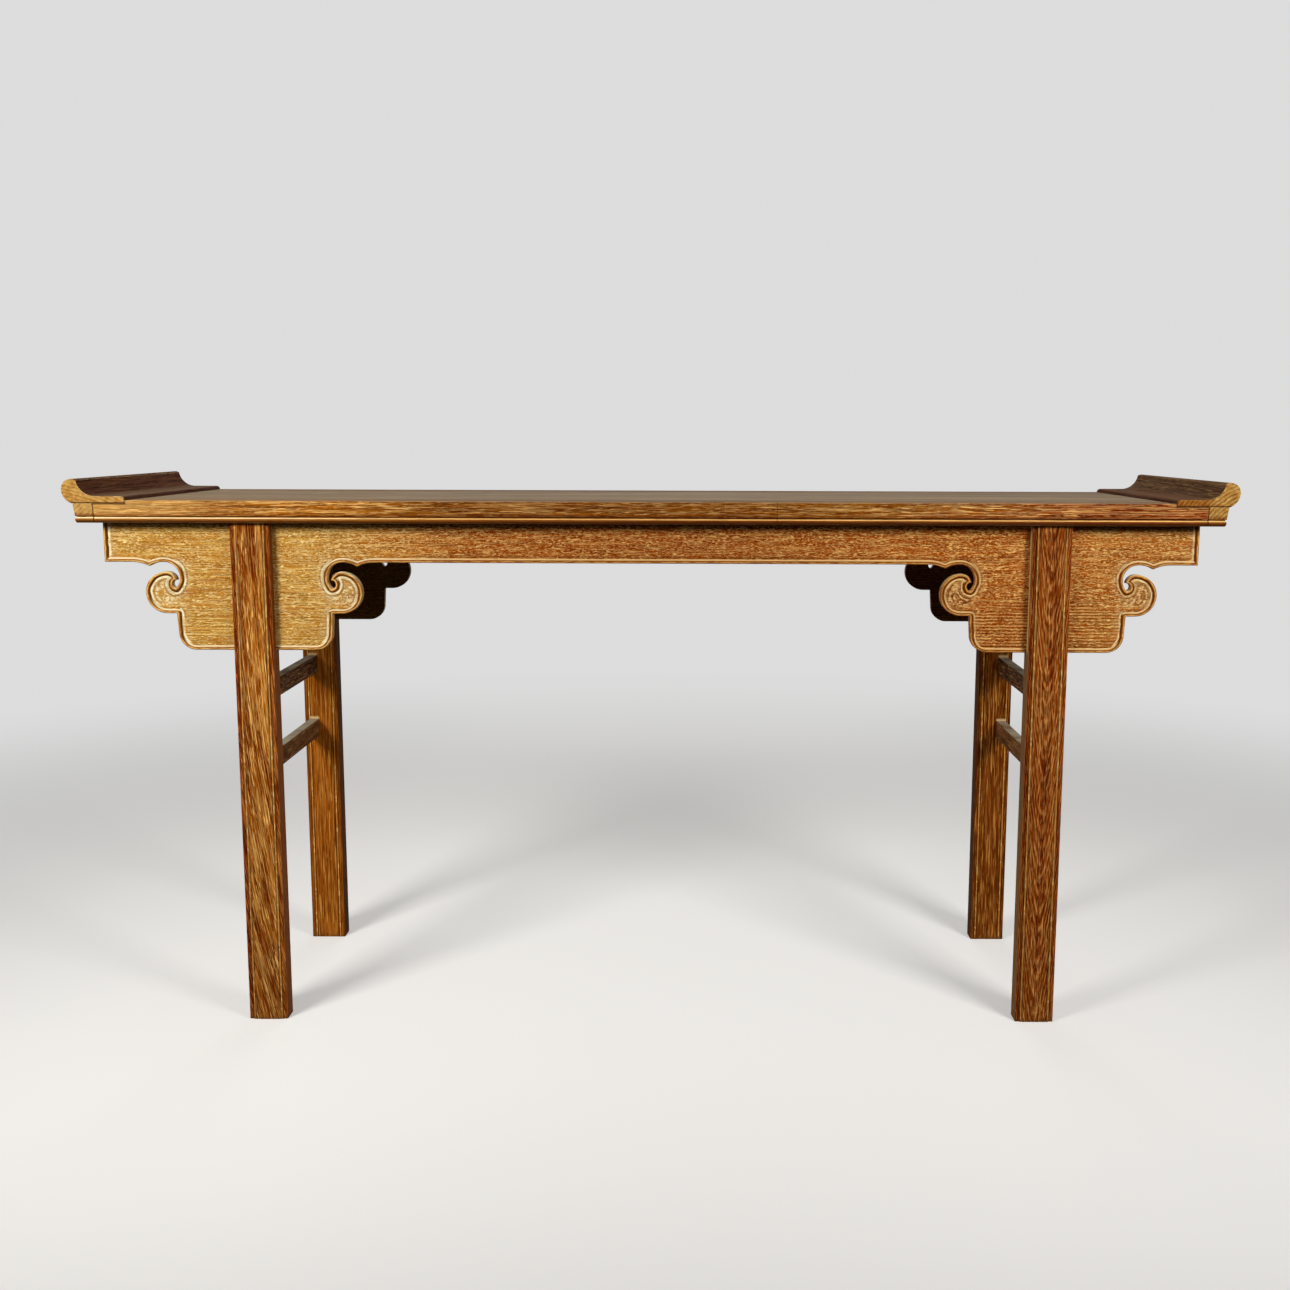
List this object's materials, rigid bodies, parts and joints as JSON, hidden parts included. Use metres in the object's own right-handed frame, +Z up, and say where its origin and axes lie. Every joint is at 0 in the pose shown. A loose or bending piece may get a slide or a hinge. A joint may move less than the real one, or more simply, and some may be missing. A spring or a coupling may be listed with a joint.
{
  "type": "scribes table",
  "caption": "Long narrow hardwood side table on recessed legs, with a framed panel top, everted end flanges and aprons with cloud-head scroll spandrels.",
  "frame": {"origin": "on the floor, under the middle of the table", "axes": "+X along the table to its right end, -Y towards the front that the picture shows, +Z up"},
  "size_m": [1.814, 0.451, 0.8765],
  "materials": {
    "frame_wood": "waxed hardwood with pale open pores, satin",
    "flange_wood": "waxed hardwood, darker where handled, satin",
    "panel_wood": "worn waxed hardwood, greyed by use, dull satin",
    "apron_wood": "waxed hardwood with pale deposit in the carving, satin",
    "leg_wood": "waxed hardwood with long pale streaks, satin",
    "stretcher_wood": "waxed hardwood, dusty on top, satin",
    "batten_wood": "plain unpolished hardwood, matt"
  },
  "bodies": {
    "root": {"front_stile_left": "frame_wood", "front_stile_right": "frame_wood", "rear_stile": "frame_wood", "left_end_rail": "frame_wood", "right_end_rail": "frame_wood", "left_flange": "flange_wood", "right_flange": "flange_wood", "front_panel_board": "panel_wood", "rear_panel_board": "panel_wood", "front_apron": "apron_wood", "rear_apron": "apron_wood", "left_end_apron": "apron_wood", "right_end_apron": "apron_wood", "front_left_leg": "leg_wood", "front_right_leg": "leg_wood", "rear_left_leg": "leg_wood", "rear_right_leg": "leg_wood", "left_upper_stretcher": "stretcher_wood", "left_lower_stretcher": "stretcher_wood", "right_upper_stretcher": "stretcher_wood", "right_lower_stretcher": "stretcher_wood", "batten_1": "batten_wood", "batten_2": "batten_wood", "batten_3": "batten_wood", "batten_4": "batten_wood", "batten_5": "batten_wood"}
  },
  "joints": []
}
